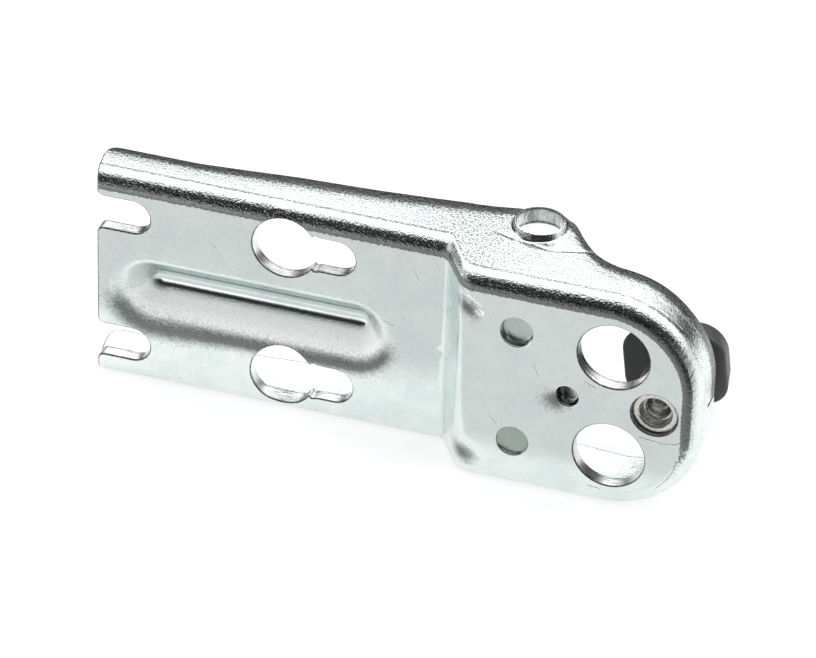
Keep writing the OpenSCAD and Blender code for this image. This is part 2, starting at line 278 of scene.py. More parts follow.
COLLAR_PROFILE = np.array([(COLLAR_R - 0.12, COLLAR_H), (COLLAR_R - 0.02, COLLAR_H - 0.06), (COLLAR_R + 0.02, COLLAR_H - 0.2),
                           (COLLAR_R + 0.08, 0.45), (COLLAR_R + 0.2, 0.2), (COLLAR_R + 0.45, 0.05), (COLLAR_R + 0.8, 0.0)])


def near_skin(q):
    X, W, s, head, inner, rho, ux, uz, bx, bz = unroll(q)
    t = np.clip((rho - RW) / RF, 0, math.pi / 2)
    rad = np.where(rho < RW, rho, RW + RF * np.sin(t))
    y0 = np.where(head, 0.0, ys(X))
    flat = t <= 0
    web = np.where(flat, web_front(X, W), 0.0) + wavy(X, W) * np.cos(t) ** 2
    y = y0 + RF * (1 - np.cos(t)) + np.maximum(rho - RE, 0) + web + dents(X, W)
    straight_in = inner & ~head
    x = np.where(straight_in, X, bx + rad * ux)
    z = np.where(straight_in, W, bz + rad * uz)
    # raised collar of the flange hole: a foot, a wall and a rounded rim
    rc = np.hypot(x - LOBE_X, y - LOBE_Y)
    h = np.where((s > 0) & (rho > RE), np.interp(rc, COLLAR_PROFILE[:, 0], COLLAR_PROFILE[:, 1]), 0.0)
    z = z + h + wavy(X, W) * 0.6 * s * np.clip((rho - RE) / 3.0, 0, 1) + np.where(rho > RE, flange_lift(x, y, s, rho - RE), 0.0)
    x = x - end_bulge(X, rho - RE)
    return np.stack([x, y, z], 1)


def far_skin(q):
    X, W, s, head, inner, rho, ux, uz, bx, bz = unroll(q)
    t = np.clip((rho - RW) / RF, 0, math.pi / 2)
    rad = np.where(rho < RW, rho, RW + RI * np.sin(t))
    y0 = np.where(head, T, yb(X))
    flat = t <= 0
    web = np.where(flat, web_back(X, W), 0.0) + wavy(X, W) * np.cos(t) ** 2
    xe = np.where(head, CX + HR * ux, X)
    ye = edge_y(xe, s)
    yn = np.where(head, 0.0, ys(X))
    re = RE + ye - yn - RF
    k = np.clip((rho - RE) / np.maximum(re - RE, 0.1), 0, 1.2)
    y = y0 + RI * (1 - np.cos(t)) + web + np.where(rho > RE, k * (ye - y0 - RI), 0.0) + dents(X, W) * np.where(rho < RE, 1.0, 0.0)
    straight_in = inner & ~head
    x = np.where(straight_in, X, bx + rad * ux)
    z = np.where(straight_in, W, bz + rad * uz)
    # the sheet is pulled up into the collar, so its far skin is belled round the hole
    yf = LOBE_Y + (W - (CZ + RE + LOBE_Y - RF))
    rc = np.hypot(x - LOBE_X, yf - LOBE_Y)
    v = np.clip((LOBE_HOLE + 1.5 - rc) / 1.5, 0, 1)
    bell = np.where((s > 0) & (rho > RE), 1.5 * (1 - np.sqrt(1 - v * v * 0.985)), 0.0)
    near_hole = (s > 0) & (rho > RE) & (rc < LOBE_HOLE + 4)
    w = np.clip((LOBE_HOLE + 4 - rc) / 2.5, 0, 1)
    y = np.where(near_hole, (1 - w) * y + w * yf, y)
    z = z + bell + wavy(X, W) * 0.6 * s * np.clip((rho - RE) / 3.0, 0, 1) + np.where(rho > RE, flange_lift(x, y, s, rho - RE), 0.0)
    x = x - end_bulge(X, rho - RE)
    return np.stack([x, y, z], 1)


def skin_normals(fn, q, sign, e=0.02):
    dx = fn(q + [e, 0]) - fn(q - [e, 0])
    dw = fn(q + [0, e]) - fn(q - [0, e])
    n = np.cross(dx, dw) * sign
    return n / np.maximum(np.linalg.norm(n, axis=1, keepdims=True), 1e-12)


# ---------------------------------------------------------------- outlines on the flat blank
def resample(pts, step, closed=True):
    pts = np.asarray(pts, float)
    if closed:
        pts = np.vstack([pts, pts[:1]])
    seg = np.linalg.norm(np.diff(pts, axis=0), axis=1)
    s = np.concatenate([[0], np.cumsum(seg)])
    n = max(int(round(s[-1] / step)), 8)
    u = np.linspace(0, s[-1], n + 1)
    if closed:
        u = u[:-1]
    return np.stack([np.interp(u, s, pts[:, 0]), np.interp(u, s, pts[:, 1])], 1)


def inward(loop):
    """Unit vectors to the left of each point of a closed loop, where the sheet is."""
    d = np.roll(loop, -1, 0) - np.roll(loop, 1, 0)
    d /= np.linalg.norm(d, axis=1, keepdims=True)
    return np.stack([-d[:, 1], d[:, 0]], 1)


def arc(cx, cy, r, a0, a1, n):
    a = np.radians(np.linspace(a0, a1, n))
    return np.stack([cx + r * np.cos(a), cy + r * np.sin(a)], 1)


def circle(cx, cy, r, n):
    a = -np.arange(n) * 2 * math.pi / n
    return np.stack([cx + r * np.cos(a), cy + r * np.sin(a)], 1)


def flange_w(x, side):
    return CZ + RE + edge_y(x, side) - ys(x) - RF


def outer_loop():
    parts = []
    # lower flange, from the arm's end to the head
    xs = np.arange(-ARM + 3.0, CX, 0.25)
    parts.append(np.stack([xs, -flange_w(xs, np.full(len(xs), -1))], 1))
    for side in (-1, 1):
        ph = np.radians(np.arange(-90, 0.1, 1.0) if side < 0 else np.arange(0, 90.1, 1.0))
        xa = CX + HR * np.cos(ph)
        rr = RE + edge_y(xa, np.full(len(xa), side)) - RF
        parts.append(np.stack([CX + rr * np.cos(ph), side * CZ + rr * np.sin(ph)], 1))
    xs = np.arange(CX - 0.2, -ARM + 3.0, -0.2)
    parts.append(np.stack([xs, flange_w(xs, np.full(len(xs), 1))], 1))
    # left end, from the upper flange's corner down to the lower one's
    we = float(flange_w(np.array([-ARM + 0.1]), np.array([1]))[0])
    wl = float(flange_w(np.array([-ARM + 0.1]), np.array([-1]))[0])
    rc = 2.2
    parts.append(arc(-ARM + rc, we - rc, rc, 90, 180, 14))
    for zc in (NOTCH_UP, NOTCH_LOW):
        r, m = NOTCH_R, 1.5
        parts.append(np.array([[-ARM, zc + r + m + 0.6]]))
        parts.append(arc(-ARM + m, zc + r + m, m, 180, 270, 9))
        parts.append(arc(NOTCH_X, zc, r, 90, -90, 32))
        parts.append(arc(-ARM + m, zc - r - m, m, 90, 180, 9))
    parts.append(arc(-ARM + rc, -wl + rc, rc, 180, 270, 14))
    return np.vstack(parts)


NOTCH_X, NOTCH_R, NOTCH_UP, NOTCH_LOW = -114.3, 3.8, 15.8, -15.8


def keyhole(zc):
    """Clockwise outline of a keyhole: the round end and the slot towards the head."""
    a = math.degrees(math.asin((SLOT_R - 0.9) / KEY_R))
    j = 1.0
    # small rounding where the slot leaves the round end
    pts = [arc(KEY_X, zc, KEY_R, -a - 6, -360 + a + 6, 90)]
    pts.append(np.array([[KEY_X + KEY_R * 0.93, zc + SLOT_R + 0.35], [KEY_X + KEY_R + 0.6, zc + SLOT_R]]))
    pts.append(arc(KEY_X + SLOT_L, zc, SLOT_R, 90, -90, 32))
    pts.append(np.array([[KEY_X + KEY_R + 0.6, zc - SLOT_R], [KEY_X + KEY_R * 0.93, zc - SLOT_R - 0.35]]))
    return np.vstack(pts)


def lobe_loop(r, n):
    """The flange hole's outline on the flat blank."""
    a = -np.arange(n) * 2 * math.pi / n
    x = LOBE_X + r * np.cos(a)
    y = LOBE_Y + r * np.sin(a)
    return np.stack([x, CZ + RE + y - RF], 1)


LOOPS = [  # outline, rounding at the near skin, rounding at the far skin
    (resample(outer_loop(), 0.42), 0.42, 0.25),
    (resample(keyhole(KEY_Z), 0.38), 0.30, 0.15),
    (resample(keyhole(-KEY_Z), 0.38), 0.30, 0.15),
    (circle(BIG_X, BIG_Z, BIG_R, 120), 0.30, 0.15),
    (circle(BIG_X, -BIG_Z, BIG_R, 120), 0.30, 0.15),
    (circle(0, 0, 4.9, 84), 0.25, 0.15),
    (lobe_loop(LOBE_HOLE, 96), 0.18, 0.2),
]


def loop_distance(p, loop):
    """Distance of points p to a closed outline."""
    a, b = loop, np.roll(loop, -1, 0)
    out = np.full(len(p), 1e9)
    lo, hi = loop.min(0) - 3, loop.max(0) + 3
    near = np.all((p > lo) & (p < hi), axis=1)
    idx = np.flatnonzero(near)
    for k in range(0, len(idx), 2000):
        i = idx[k:k + 2000]
        ap = p[i][:, None] - a[None]
        ab = (b - a)[None]
        t = np.clip((ap * ab).sum(2) / (ab ** 2).sum(2), 0, 1)
        out[i] = np.sqrt(((ap - t[..., None] * ab) ** 2).sum(2)).min(1)
    return out


def inside(p, loop):
    a, b = loop, np.roll(loop, -1, 0)
    lo, hi = loop.min(0), loop.max(0)
    out = np.zeros(len(p), bool)
    idx = np.flatnonzero(np.all((p >= lo) & (p <= hi), axis=1))
    for k in range(0, len(idx), 4000):
        i = idx[k:k + 4000]
        px, py = p[i, 0][:, None], p[i, 1][:, None]
        cross = ((a[:, 1] > py) != (b[:, 1] > py)) & (
            px < (b[:, 0] - a[:, 0]) * (py - a[:, 1]) / (b[:, 1] - a[:, 1] + 1e-30) + a[:, 0])
        out[i] = cross.sum(1) % 2 == 1
    return out


def lines(*spans):
    """Grid lines: spans of (start, end, step)."""
    v = []
    for a, b, st in spans:
        n = max(int(round((b - a) / st)), 1)
        v.extend(np.linspace(a, b, n + 1)[:-1])
    return np.array(v)


def blank_points():
    """Points of the mesh on the flat blank, away from the outlines."""
    out = []
    wa = np.concatenate([lines((0, 13.0, 1.15), (13.0, 20.6, 0.7), (20.6, 21.4, 0.4), (21.4, 21.4 + ARC, ARC / 14), (21.4 + ARC, 21.4 + ARC + 1.2, 0.6)),
                         np.arange(21.4 + ARC + 1.2, 54, 0.9)])
    wa = np.concatenate([-wa[:0:-1], wa])
    xs = lines((-ARM, -49.6, 1.1), (-49.6, -34.6, 0.32), (-34.6, CX, 1.1))
    gx, gw = np.meshgrid(xs, wa)
    g = np.stack([gx.ravel(), gw.ravel()], 1)
    d, _ = rib_polar(g[:, 0], g[:, 1])
    out.append(g[d > 10.6])
    # rib
    ds = lines((0.35, 10.4, 0.36))
    xr = lines((RIB_X0, RIB_X1, 1.0))
    for dd in np.concatenate([[0.0], ds]):
        for sgn in ((1,) if dd == 0 else (1, -1)):
            out.append(np.stack([xr, np.full(len(xr), RIB_W + sgn * dd)], 1))
        if dd > 0:
            n = max(int(math.pi * dd / 0.75), 5)
            out.append(arc(RIB_X0, RIB_W, dd, 90, 270, n + 1)[1:-1])
            out.append(arc(RIB_X1, RIB_W, dd, -90, 90, n + 1))
        else:
            out.append(np.array([[RIB_X1, RIB_W]]))
    # head: plain grid inside, polar lines in the fold and the flange
    gx, gw = np.meshgrid(lines((CX, 10, 1.1)), lines((-22, 22, 1.1)))
    g = np.stack([gx.ravel(), gw.ravel()], 1)
    rho = unroll(g)[5]
    out.append(g[rho < RW - 0.7])
    rl = np.concatenate([[RW - 0.35], np.linspace(RW, RE, 15), [RE + 0.6], np.arange(RE + 1.2, 36, 1.2)])
    for r in rl:
        ph = np.radians(np.arange(0, 90.1, 2.25))
        for sgn in (1, -1):
            out.append(np.stack([CX + r * np.cos(ph), sgn * (CZ + r * np.sin(ph))], 1))
        z = lines((-CZ, CZ, 1.0))[1:]
        out.append(np.stack([np.full(len(z), CX + r), z], 1))
    p = np.vstack(out)
    # rings round the sheared discs, the dimple and the collar
    rings = []
    for cx, cz, R in ((DISC_X, DISC_Z, DISC_R), (DISC_X, -DISC_Z, DISC_R), (DIMPLE_X, DIMPLE_Z, DIMPLE_R)):
        p = p[np.hypot(p[:, 0] - cx, p[:, 1] - cz) > R + (2.3 if R < 3 else 0.75)]
        for dr in (-0.9, -0.35, -0.13, 0.0, 0.06, 0.15, 0.28, 0.5):
            rings.append(circle(cx, cz, R + dr, 64))
        if R < 3:
            for dr in (0.85, 1.15, 1.45, 1.75, 2.05):
                rings.append(circle(cx, cz, R + dr, 48))
        else:
            rings.append(circle(cx, cz, R - 1.9, 30))
        rings.append(circle(cx, cz, 0.7, 12))
    wl = CZ + RE + LOBE_Y - RF
    p = p[np.hypot(p[:, 0] - LOBE_X, p[:, 1] - wl) > COLLAR_R + 0.7]
    for dr in (-0.12, -0.02, 0.03, 0.08, 0.2, 0.45, 0.7):
        rings.append(circle(LOBE_X, wl, COLLAR_R + dr, 96))
    # extra rows along the crease
    xc = lines((-40.0, -15.2, 0.5))
    yc = np.interp(xc, CREASE[:, 0], CREASE[:, 1])
    for dv in (-0.9, -0.5, -0.25, 0.0, 0.25, 0.5, 0.9):
        rings.append(np.stack([xc, CZ + RE + yc + dv - RF], 1)[np.hypot(xc - LOBE_X, yc + dv - LOBE_Y) > COLLAR_R + 0.9])
    return np.vstack([p] + rings)


def build_bracket():
    pts = blank_points()
    for loop, rn, rf in LOOPS:
        r = max(rn, rf)
        skin = loop + inward(loop) * r
        keep = loop_distance(pts, loop) > r + 0.3
        pts = pts[keep]
    outer = LOOPS[0][0]
    pts = pts[inside(pts, outer)]
    for loop, _, _ in LOOPS[1:]:
        pts = pts[~inside(pts, loop)]
    # no two points nearer than 0.05 mm
    key = np.round(pts / 0.06).astype(np.int64)
    _, first = np.unique(key[:, 0] * 1000003 + key[:, 1], return_index=True)
    pts = pts[np.sort(first)]
    verts = [pts]
    start = len(pts)
    ring_at, edges = [], []
    for loop, rn, rf in LOOPS:
        r = max(rn, rf)
        ring = loop + inward(loop) * r
        n = len(ring)
        ring_at.append((start, n))
        edges += [(start + i, start + (i + 1) % n) for i in range(n)]
        verts.append(ring)
        start += n
    allp = np.vstack(verts)
    res = delaunay_2d_cdt([Vector((float(a), float(b))) for a, b in allp], edges, [], 0, 1e-7)
    v2 = np.array([(v.x, v.y) for v in res[0]])
    tri = np.array([f for f in res[2] if len(f) == 3])
    where = {}
    for new, olds in enumerate(res[3]):
        for o in olds:
            where[o] = new
    cen = v2[tri].mean(1)
    skins = [allp[s:s + n] for s, n in ring_at]
    keep = inside(cen, skins[0])
    for sk in skins[1:]:
        keep &= ~inside(cen, sk)
    tri = tri[keep]
    a, b, c = v2[tri[:, 0]], v2[tri[:, 1]], v2[tri[:, 2]]
    area = (b[:, 0] - a[:, 0]) * (c[:, 1] - a[:, 1]) - (b[:, 1] - a[:, 1]) * (c[:, 0] - a[:, 0])
    tri = tri[np.abs(area) > 1e-9]
    area = area[np.abs(area) > 1e-9]
    tri[area < 0] = tri[area < 0][:, ::-1]
    nv = len(v2)
    co = [near_skin(v2), far_skin(v2)]
    nrm = [skin_normals(near_skin, v2, 1.0), skin_normals(far_skin, v2, -1.0)]
    flat_co = [v2, v2]
    faces = [tri, tri[:, ::-1] + nv]
    kind = [np.zeros(nv), np.ones(nv)]
    through = [np.zeros(nv), np.ones(nv)]
    base = 2 * nv
    for (loop, rn, rf), (s0, n) in zip(LOOPS, ring_at):
        r = max(rn, rf)
        inn = inward(loop)
        ids = [np.array([where[s0 + i] for i in range(n)])]
        rows = []
        for th in (22.5, 45, 67.5, 90):
            th = math.radians(th)
            rows.append((loop + inn * (r - rn * math.sin(th)) if False else loop + inn * rn * (1 - math.sin(th)), rn * (1 - math.cos(th)) / T))
        for lam in (0.3, 0.5, 0.7):
            rows.append((loop, lam))
        for th in (90, 60, 30):
            th = math.radians(th)
            rows.append((loop + inn * rf * (1 - math.sin(th)), 1 - rf * (1 - math.cos(th)) / T))
        for q, lam in rows:
            co.append((1 - lam) * near_skin(q) + lam * far_skin(q))
            nrm.append(np.full((n, 3), np.nan))
            flat_co.append(q)
            kind.append(np.full(n, 2.0))
            through.append(np.full(n, lam))
            ids.append(base + np.arange(n))
            base += n
        ids.append(ids[0] + nv)
        for k in range(len(ids) - 1):
            a0, b0 = ids[k], ids[k + 1]
            a1, b1 = np.roll(a0, -1), np.roll(b0, -1)
            faces.append(np.stack([a0, b0, b1], 1))
            faces.append(np.stack([a0, b1, a1], 1))
    return np.vstack(co), np.vstack(faces), np.vstack(nrm), np.vstack(flat_co), np.concatenate(kind), np.concatenate(through)


def new_mesh(name, co, faces, normals=None, smooth=True):
    """A mesh object from points in mm and triangles or polygons, with its own normals where they are given."""
    me = bpy.data.meshes.new(name)
    me.from_pydata((np.asarray(co) * MM).tolist(), [], [list(map(int, f)) for f in faces])
    me.update()
    if smooth:
        me.polygons.foreach_set("use_smooth", np.ones(len(me.polygons), bool))
    if normals is not None:
        auto = np.zeros(len(me.vertices) * 3, np.float32)
        me.vertices.foreach_get("normal", auto)
        auto = auto.reshape(-1, 3)
        n = np.where(np.isnan(normals), auto, normals)
        me.normals_split_custom_set_from_vertices(n.tolist())
    ob = bpy.data.objects.new(name, me)
    bpy.context.scene.collection.objects.link(ob)
    return ob


def attribute(ob, name, values):
    a = ob.data.attributes.new(name, "FLOAT", "POINT")
    a.data.foreach_set("value", np.asarray(values, np.float32))


co, faces, nrm, blank, kind, through = build_bracket()
bracket = new_mesh("bracket_sheet", co, faces, nrm)
X_, W_, s_, head_, inner_, rho, *_rest = unroll(blank)
bend = np.clip((rho - RW + 0.6) / 1.2, 0, 1) * np.clip((RE + 0.8 - rho) / 1.2, 0, 1)
web_part = rho < RW
rib_d, rib_s = rib_polar(X_, W_)
wall = np.clip((rib_d - 1.6) / 0.8, 0, 1) * np.clip((10.2 - rib_d) / 1.2, 0, 1) * web_part
wall = wall * (1 - 0.45 * np.clip(rib_s, 0, 1))
edge_dist = np.where(web_part, 99.0, edge_y(np.clip(X_, -122, 9.3), s_) - co[:, 1])
rim = np.clip((5.6 - edge_dist) / 2.0, 0, 1) * (rho > RE)
flat_flange = np.clip((rho - RE) / 1.0, 0, 1)
worked = np.clip(np.maximum.reduce([bend, wall * 0.9, rim, flat_flange * 0.5]), 0, 1)
attribute(bracket, "worked", worked)
attribute(bracket, "cut", (kind == 2).astype(float))
attribute(bracket, "behind", (kind == 1).astype(float))
attribute(bracket, "through", through)
rd_up = np.hypot(X_ - DISC_X, W_ - DISC_Z)
rd_low = np.hypot(X_ - DISC_X, W_ + DISC_Z)
rd_mid = np.hypot(X_ - DIMPLE_X, W_ - DIMPLE_Z)
attribute(bracket, "disc", np.where(rd_up < DISC_R - 0.05, 0.6, 0) + np.where(rd_low < DISC_R - 0.05, 1.0, 0) + np.where(rd_mid < DIMPLE_R - 0.05, 0.35, 0))
free = edge_dist / np.interp(X_, [-122, -105, -80, -50, -30, 0], [3.8, 4.6, 6.6, 6.4, 4.6, 5.0])
# painted reflection: dark speckled bands in the colour along the upper flange's free edge and the start of the upper
# fold, where the metal mirrors dark surroundings
painted_dark_bands = [
    1.7 * np.clip(1 - free, 0, 1) * (rho > RE) * (co[:, 2] > 0),  # free edge of the upper flange: painted dark reflection
    1.3 * np.exp(-((rho - RW - 0.9) / 1.05) ** 4) * np.clip((W_ + 14) / 12, 0, 1) * (rho > RW - 1.2),  # start of the upper fold: painted dark reflection
]
left = np.clip((-92 - X_) / 14, 0, 1)
# painted shade: soft dark patches under the rib's lower lip, beside the dimple and below the stiffening dents at the
# step
soft_painted_shade = [
    0.95 * np.exp(-((rib_d - 8.2 - 0.5 * left) / (1.9 + 0.7 * left)) ** 2) * np.clip(-rib_s * 1.6 + 0.15, 0, 1) * web_part,  # under the rib
    0.90 * np.exp(-((X_ - DIMPLE_X + 2.4) / 3.0) ** 2 - ((W_ - DIMPLE_Z + 1.6) / 2.2) ** 2) * web_part,
]
for cx, cz in ((-38.9, 17.6), (-39.1, -18.0)):
    u_ = (X_ - cx) * 0.825 - (W_ - cz) * 0.565
    v_ = (X_ - cx) * 0.565 + (W_ - cz) * 0.825
    soft_painted_shade.append(0.95 * np.exp(-(u_ / 2.8) ** 2 - ((v_ + 1.3) / 1.7) ** 2) * web_part)
attribute(bracket, "soft_painted_shade", np.maximum.reduce(soft_painted_shade) * (kind < 0.5))
shade = np.maximum.reduce(painted_dark_bands) * (kind < 0.5)
attribute(bracket, "shade", shade)
# darker specks over the upper flange, thickest left of the collar
attribute(bracket, "flange_specks", np.clip(0.62 * (rho > RE - 0.4) * (W_ > 0) * np.exp(-((X_ + 44) / 13.0) ** 2) + 0.30 * (rho > RE - 0.4) * (W_ > 0), 0, 1) * (kind < 0.5))
# painted reflection: mask of the rib's lower wall, made white in the colour
attribute(bracket, "rib_wall_glare", np.clip(-rib_s * 3, 0, 1) * np.clip((rib_d - 2.0) / 0.8, 0, 1) * np.clip((7.4 - rib_d) / 1.2, 0, 1) * web_part * (kind < 0.5))
attribute(bracket, "foldline", np.exp(-((rho - RE - 0.15) / 0.35) ** 2) * (kind < 0.5) * (X_ < -34))
rc_ = np.hypot(co[:, 0] - LOBE_X, co[:, 1] - LOBE_Y)
print("bracket triangles", len(faces))


# ---------------------------------------------------------------- materials
def material(name):
    m = bpy.data.materials.new(name)
    m.use_nodes = True
    nt = m.node_tree
    return m, nt, nt.nodes["Principled BSDF"]


def put(nt, sock, v):
    if isinstance(v, bpy.types.NodeSocket):
        nt.links.new(v, sock)
    else:
        sock.default_value = v


def calc(nt, op, a, b=0.0, clamp=False):
    n = nt.nodes.new("ShaderNodeMath")
    n.operation, n.use_clamp = op, clamp
    put(nt, n.inputs[0], a)
    if op not in ("SQRT", "ABSOLUTE", "FRACT"):
        put(nt, n.inputs[1], b)
    return n.outputs[0]


def vcalc(nt, op, a, b=(0, 0, 0), scale=None):
    n = nt.nodes.new("ShaderNodeVectorMath")
    n.operation = op
    put(nt, n.inputs[0], a)
    if op not in ("LENGTH", "SCALE"):
        put(nt, n.inputs[1], b)
    if scale is not None:
        put(nt, n.inputs["Scale"], scale)
    return n.outputs["Value"] if op in ("LENGTH", "DOT_PRODUCT") else n.outputs["Vector"]


def span(nt, v, a, b, c=0.0, d=1.0, smooth=False):
    """Map v from a..b to c..d, held at the ends."""
    n = nt.nodes.new("ShaderNodeMapRange")
    n.interpolation_type = "SMOOTHSTEP" if smooth else "LINEAR"
    put(nt, n.inputs["Value"], v)
    for k, x in zip(("From Min", "From Max", "To Min", "To Max"), (a, b, c, d)):
        put(nt, n.inputs[k], x)
    return n.outputs["Result"]


def noise(nt, vec, scale, detail=2.0, rough=0.5, warp=0.0):
    n = nt.nodes.new("ShaderNodeTexNoise")
    nt.links.new(vec, n.inputs["Vector"])
    n.inputs["Scale"].default_value = scale
    n.inputs["Detail"].default_value = detail
    n.inputs["Roughness"].default_value = rough
    n.inputs["Distortion"].default_value = warp
    return n.outputs["Fac"]


def blend(nt, fac, a, b, how="MIX"):
    n = nt.nodes.new("ShaderNodeMix")
    n.data_type, n.blend_type = "RGBA", how
    put(nt, n.inputs[0], fac)
    put(nt, n.inputs[6], a)
    put(nt, n.inputs[7], b)
    return n.outputs[2]


def attr(nt, name):
    n = nt.nodes.new("ShaderNodeAttribute")
    n.attribute_name = name
    return n.outputs["Fac"]


def place(nt):
    return nt.nodes.new("ShaderNodeTexCoord").outputs["Object"]


def bump(nt, height, dist, before=None):
    n = nt.nodes.new("ShaderNodeBump")
    n.inputs["Strength"].default_value = 1.0
    n.inputs["Distance"].default_value = dist
    put(nt, n.inputs["Height"], height)
    if before is not None:
        nt.links.new(before, n.inputs["Normal"])
    return n.outputs["Normal"]


def scratch(nt, flat, p0, p1, wide):
    """Mask of a scratch between two points of the web, X and height in mm."""
    a = np.array([p0[0], 0, p0[1]]) * MM
    d = np.array([p1[0] - p0[0], 0, p1[1] - p0[1]]) * MM
    pa = vcalc(nt, "SUBTRACT", flat, tuple(a))
    h = calc(nt, "MULTIPLY", vcalc(nt, "DOT_PRODUCT", pa, tuple(d / (d @ d))), 1.0, clamp=True)
    on = nt.nodes.new("ShaderNodeVectorMath")
    on.operation = "SCALE"
    on.inputs[0].default_value = tuple(d)
    nt.links.new(h, on.inputs["Scale"])
    dist = vcalc(nt, "LENGTH", vcalc(nt, "SUBTRACT", pa, on.outputs["Vector"]))
    return span(nt, dist, wide * MM, wide * MM * 0.3, 0.0, 1.0)


SCRATCHES = [  # ends, half width: the rubbed arcs beside the pin and smaller marks
    ((-2.7, -5.9), (2.6, -6.4), 0.16), ((2.6, -6.4), (4.9, -5.9), 0.16), ((4.9, -5.9), (6.9, -4.5), 0.14),
    ((5.1, -10.2), (4.6, -12.6), 0.15), ((4.6, -12.6), (3.4, -15.0), 0.15), ((3.4, -15.0), (1.1, -17.9), 0.13),
    ((-14.9, 4.9), (-12.4, 3.9), 0.13), ((-60.4, 3.2), (-57.9, 2.2), 0.10), ((-97.6, 13.6), (-95.9, 12.4), 0.10),
    ((-25.4, 6.6), (-24.4, 3.9), 0.09), ((-34.6, -7.9), (-32.9, -9.6), 0.09), ((-13.1, -20.4), (-10.4, -20.6), 0.10),
    ((-71.4, -4.6), (-69.9, -6.9), 0.09), ((-53.9, 16.9), (-52.6, 14.4), 0.09),
]

zinc, nt, bsdf = material("zinc_plated_sheet")
P = place(nt)
flat = vcalc(nt, "MULTIPLY", P, (1, 0, 1))
worked_n, cut_n, behind_n, disc_n = attr(nt, "worked"), attr(nt, "cut"), attr(nt, "behind"), attr(nt, "disc")
peel = noise(nt, P, 820, 1.0, 0.4)
grain = noise(nt, P, 2000, 2.0, 0.6)
tiny = noise(nt, P, 6500, 1.0, 0.5)
patch = noise(nt, P, 190, 4.0, 0.6, 0.4)
broad = noise(nt, P, 42, 3.0, 0.5)
cloud = calc(nt, "ADD", calc(nt, "MULTIPLY", patch, 0.55), calc(nt, "MULTIPLY", broad, 0.45))
tone = span(nt, cloud, 0.40, 0.60)
col = blend(nt, tone, (0.80, 0.87, 0.84, 1), (0.72, 0.80, 0.785, 1))
# fine darker flecks in the plating
fleck = span(nt, grain, 0.60, 0.72, 0.0, 0.38)
col = blend(nt, fleck, col, (0.50, 0.56, 0.55, 1))
pale = span(nt, tiny, 0.58, 0.75, 0.0, 0.35)
col = blend(nt, pale, col, (0.93, 0.97, 0.95, 1))
marks = None
for p0, p1, wide in SCRATCHES:
    m = scratch(nt, flat, p0, p1, wide)
    marks = m if marks is None else calc(nt, "MAXIMUM", marks, m)
marks = calc(nt, "MULTIPLY", marks, calc(nt, "SUBTRACT", 1.0, behind_n))
marks = calc(nt, "MULTIPLY", marks, span(nt, grain, 0.36, 0.52, 0.25, 0.85))
col = blend(nt, marks, col, (0.16, 0.19, 0.19, 1))
# the broken line where the fold ends
fl = calc(nt, "MULTIPLY", attr(nt, "foldline"), span(nt, grain, 0.44, 0.56, 0.0, 0.6))
col = blend(nt, fl, col, (0.22, 0.25, 0.25, 1))
# rib's lower wall: a rougher, less metallic finish, and white colour as painted reflection of the bright floor it
# faces
under = attr(nt, "rib_wall_glare")
col = blend(nt, calc(nt, "MULTIPLY", under, span(nt, grain, 0.60, 0.42, 0.60, 1.0)), col, (0.99, 0.995, 0.99, 1))
# painted reflection and painted shade: the dark speckled bands and the soft dark patches are painted into the colour;
# then darker specks over the upper flange
speck = calc(nt, "ADD", calc(nt, "MULTIPLY", grain, 1.5), calc(nt, "MULTIPLY", tiny, 0.4))
dark = span(nt, calc(nt, "ADD", attr(nt, "shade"), calc(nt, "SUBTRACT", speck, 0.95)), 0.38, 0.66, 0.0, 0.86)
soft = span(nt, calc(nt, "ADD", attr(nt, "soft_painted_shade"), calc(nt, "MULTIPLY", calc(nt, "SUBTRACT", speck, 0.95), 0.45)), 0.12, 0.85, 0.0, 0.88)
dark = calc(nt, "MAXIMUM", dark, soft)
col = blend(nt, dark, col, (0.115, 0.12, 0.12, 1))
# darker specks over the upper flange, thickest left of the collar
flange_specks = calc(nt, "MULTIPLY", attr(nt, "flange_specks"), span(nt, speck, 0.90, 1.12))
col = blend(nt, flange_specks, col, (0.17, 0.18, 0.18, 1))
# sage-grey colour and a matt finish on the faces of the half-sheared discs, strongest on the lower disc and weakest on
# the dimple
col = blend(nt, calc(nt, "MULTIPLY", disc_n, 0.66, clamp=True), col, (0.22, 0.27, 0.23, 1))
# streaks of the sheared edges
streak_at = vcalc(nt, "MULTIPLY", P, (330, 2900, 330))
streak = nt.nodes.new("ShaderNodeTexNoise")
nt.links.new(streak_at, streak.inputs["Vector"])
streak.inputs["Scale"].default_value = 1.0
streak.inputs["Detail"].default_value = 3.0
streak = streak.outputs["Fac"]
cut_col = blend(nt, span(nt, streak, 0.44, 0.70, 0.0, 0.75), (0.93, 0.94, 0.92, 1), (0.30, 0.305, 0.30, 1))
thru = attr(nt, "through")
# painted shade: dark speckled lines along the roundings where each cut wall meets the near and far faces
lip_painted_shade = calc(nt, "MAXIMUM", span(nt, thru, 0.16, 0.06), span(nt, thru, 0.90, 0.97))
cut_col = blend(nt, calc(nt, "MULTIPLY", lip_painted_shade, span(nt, grain, 0.35, 0.5, 0.55, 1.0)), cut_col, (0.085, 0.09, 0.09, 1))
col = blend(nt, calc(nt, "MULTIPLY", cut_n, 0.95), col, cut_col)
nt.links.new(col, bsdf.inputs["Base Color"])
nt.links.new(calc(nt, "SUBTRACT", 1.0, calc(nt, "MULTIPLY", under, 0.75)), bsdf.inputs["Metallic"])
rough = span(nt, patch, 0.35, 0.65, 0.10, 0.17)
rough = calc(nt, "ADD", rough, calc(nt, "MULTIPLY", cut_n, 0.16))
rough = calc(nt, "ADD", rough, calc(nt, "MULTIPLY", disc_n, 0.22))
rough = calc(nt, "ADD", rough, calc(nt, "MULTIPLY", under, 0.35))
rough = calc(nt, "ADD", rough, calc(nt, "MULTIPLY", behind_n, 0.12))
